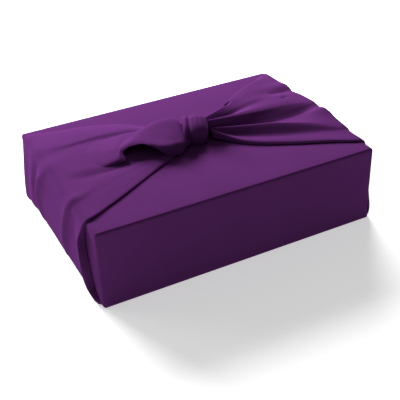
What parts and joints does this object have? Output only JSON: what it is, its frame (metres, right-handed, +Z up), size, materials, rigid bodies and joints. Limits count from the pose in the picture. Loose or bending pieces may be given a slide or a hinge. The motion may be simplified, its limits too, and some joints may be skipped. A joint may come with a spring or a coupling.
{
  "type": "furoshiki wrap",
  "caption": "Square cloth folded round a flat rectangular gift box and tied on top, with ridged side wings meeting at a centre knot and one open tail.",
  "frame": {"origin": "middle of the underside of the wrapped base", "axes": "+X to the right along the long front edge, +Y to the back, +Z up"},
  "size_m": [0.3164, 0.213, 0.106],
  "materials": {
    "purple_cloth": "plain deep purple cloth, matt with a slight sheen"
  },
  "bodies": {
    "root": {"furoshiki_cloth": "purple_cloth"}
  },
  "joints": []
}
